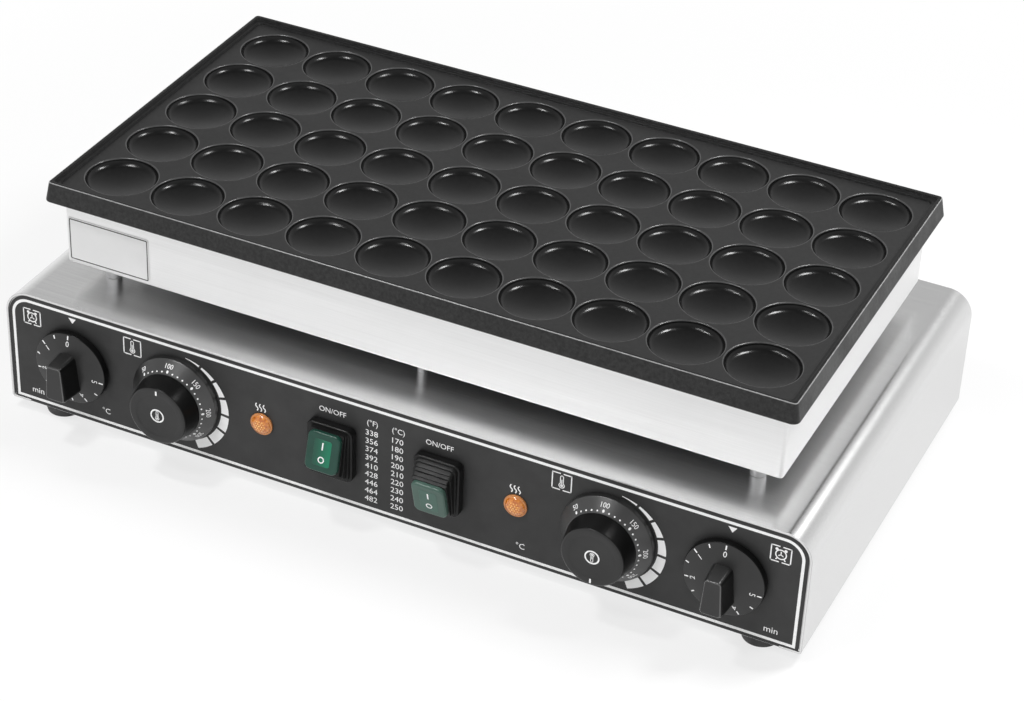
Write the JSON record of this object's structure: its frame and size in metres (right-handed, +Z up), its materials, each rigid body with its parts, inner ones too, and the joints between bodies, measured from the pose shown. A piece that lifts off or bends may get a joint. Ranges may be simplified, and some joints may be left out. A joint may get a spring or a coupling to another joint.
{
  "type": "mini pancake maker",
  "caption": "Counter-top mini pancake maker: dimpled cast plate on a steel skirt and posts over a base with timer dials, thermostat knobs, pilot lamps and rocker switches",
  "frame": {"origin": "on the floor under the middle of the footprint", "axes": "X to the right along the plate's long side, Y to the back with the control panel facing -Y, Z up"},
  "size_m": [0.54, 0.338, 0.165],
  "materials": {
    "cast_plate": "satin, dark coated casting",
    "brushed_steel": "brushed stainless sheet",
    "skirt_steel": "bright stainless sheet",
    "zinc_steel": "zinc plated fasteners and brackets",
    "overlay": "printed dark grey film",
    "black_plastic": "satin black moulding",
    "rubber": "matt black rubber",
    "amber_lens": "clear amber, pebbled inside",
    "green_key": "green under a clear boot",
    "element_sheath": "heat tinted sheath",
    "copper": "drawn copper",
    "fibre": "white mineral fibre",
    "ceramic": "cream ceramic"
  },
  "bodies": {
    "base": {"baking_plate": "cast_plate", "plate_skirt": "skirt_steel", "heat_shield": "zinc_steel", "insulation_blanket": "fibre", "heating_element_left": "element_sheath", "heating_element_right": "element_sheath", "element_clamps": "zinc_steel", "clamp_screws": "zinc_steel", "plate_studs": "zinc_steel", "stud_nuts": "zinc_steel", "support_posts": "zinc_steel", "wiring_sleeve": "zinc_steel", "housing_wrap": "brushed_steel", "front_panel": "brushed_steel", "panel_overlay": "overlay", "rear_panel": "brushed_steel", "rear_panel_screws": "zinc_steel", "bottom_plate": "zinc_steel", "bottom_plate_screws": "zinc_steel", "rubber_feet": "rubber", "foot_screws": "zinc_steel", "foot_nuts": "zinc_steel", "timer_body_left": "zinc_steel", "timer_body_right": "zinc_steel", "timer_screws": "zinc_steel", "thermostat_body_left": "zinc_steel", "thermostat_body_right": "zinc_steel", "thermostat_screws": "zinc_steel", "thermostat_sensor_left": "copper", "thermostat_sensor_right": "copper", "thermostat_bezel_left": "black_plastic", "thermostat_bezel_right": "black_plastic", "switch_body_left": "black_plastic", "switch_body_right": "black_plastic", "switch_boot_left": "rubber", "switch_boot_right": "rubber", "lamp_lens_left": "amber_lens", "lamp_lens_right": "amber_lens", "lamp_body_left": "ceramic", "lamp_body_right": "ceramic", "terminal_block": "ceramic", "earth_stud": "copper", "cable_gland_body": "black_plastic", "cable_gland_nut": "black_plastic", "cable_gland_seal": "rubber", "cable_gland_locknut": "black_plastic"},
    "timer_left": {"timer_knob_left": "black_plastic", "timer_shaft_left": "zinc_steel"},
    "timer_right": {"timer_knob_right": "black_plastic", "timer_shaft_right": "zinc_steel"},
    "thermostat_left": {"thermostat_knob_left": "black_plastic", "thermostat_shaft_left": "zinc_steel"},
    "thermostat_right": {"thermostat_knob_right": "black_plastic", "thermostat_shaft_right": "zinc_steel"},
    "switch_left": {"switch_rocker_left": "green_key"},
    "switch_right": {"switch_rocker_right": "green_key"}
  },
  "joints": [
    {"name": "timer_left_turn", "type": "hinge", "parent": "base", "child": "timer_left", "pos_m": [-0.22051, -0.145, 0.049], "axis": [0, 1, 0], "range_deg": [0, 260]},
    {"name": "timer_right_turn", "type": "hinge", "parent": "base", "child": "timer_right", "pos_m": [0.22051, -0.145, 0.049], "axis": [0, 1, 0], "range_deg": [0, 260]},
    {"name": "thermostat_left_turn", "type": "hinge", "parent": "base", "child": "thermostat_left", "pos_m": [-0.14599, -0.145, 0.049], "axis": [0, 1, 0], "range_deg": [-90, 180]},
    {"name": "thermostat_right_turn", "type": "hinge", "parent": "base", "child": "thermostat_right", "pos_m": [0.14599, -0.145, 0.049], "axis": [0, 1, 0], "range_deg": [-270, 0]},
    {"name": "switch_left_rock", "type": "hinge", "parent": "base", "child": "switch_left", "pos_m": [-0.03599, -0.1415, 0.049], "axis": [1, 0, 0], "range_deg": [0, 30], "deforming": ["switch_boot_left"]},
    {"name": "switch_right_rock", "type": "hinge", "parent": "base", "child": "switch_right", "pos_m": [0.03599, -0.1415, 0.049], "axis": [1, 0, 0], "range_deg": [-30, 0], "deforming": ["switch_boot_right"]}
  ]
}
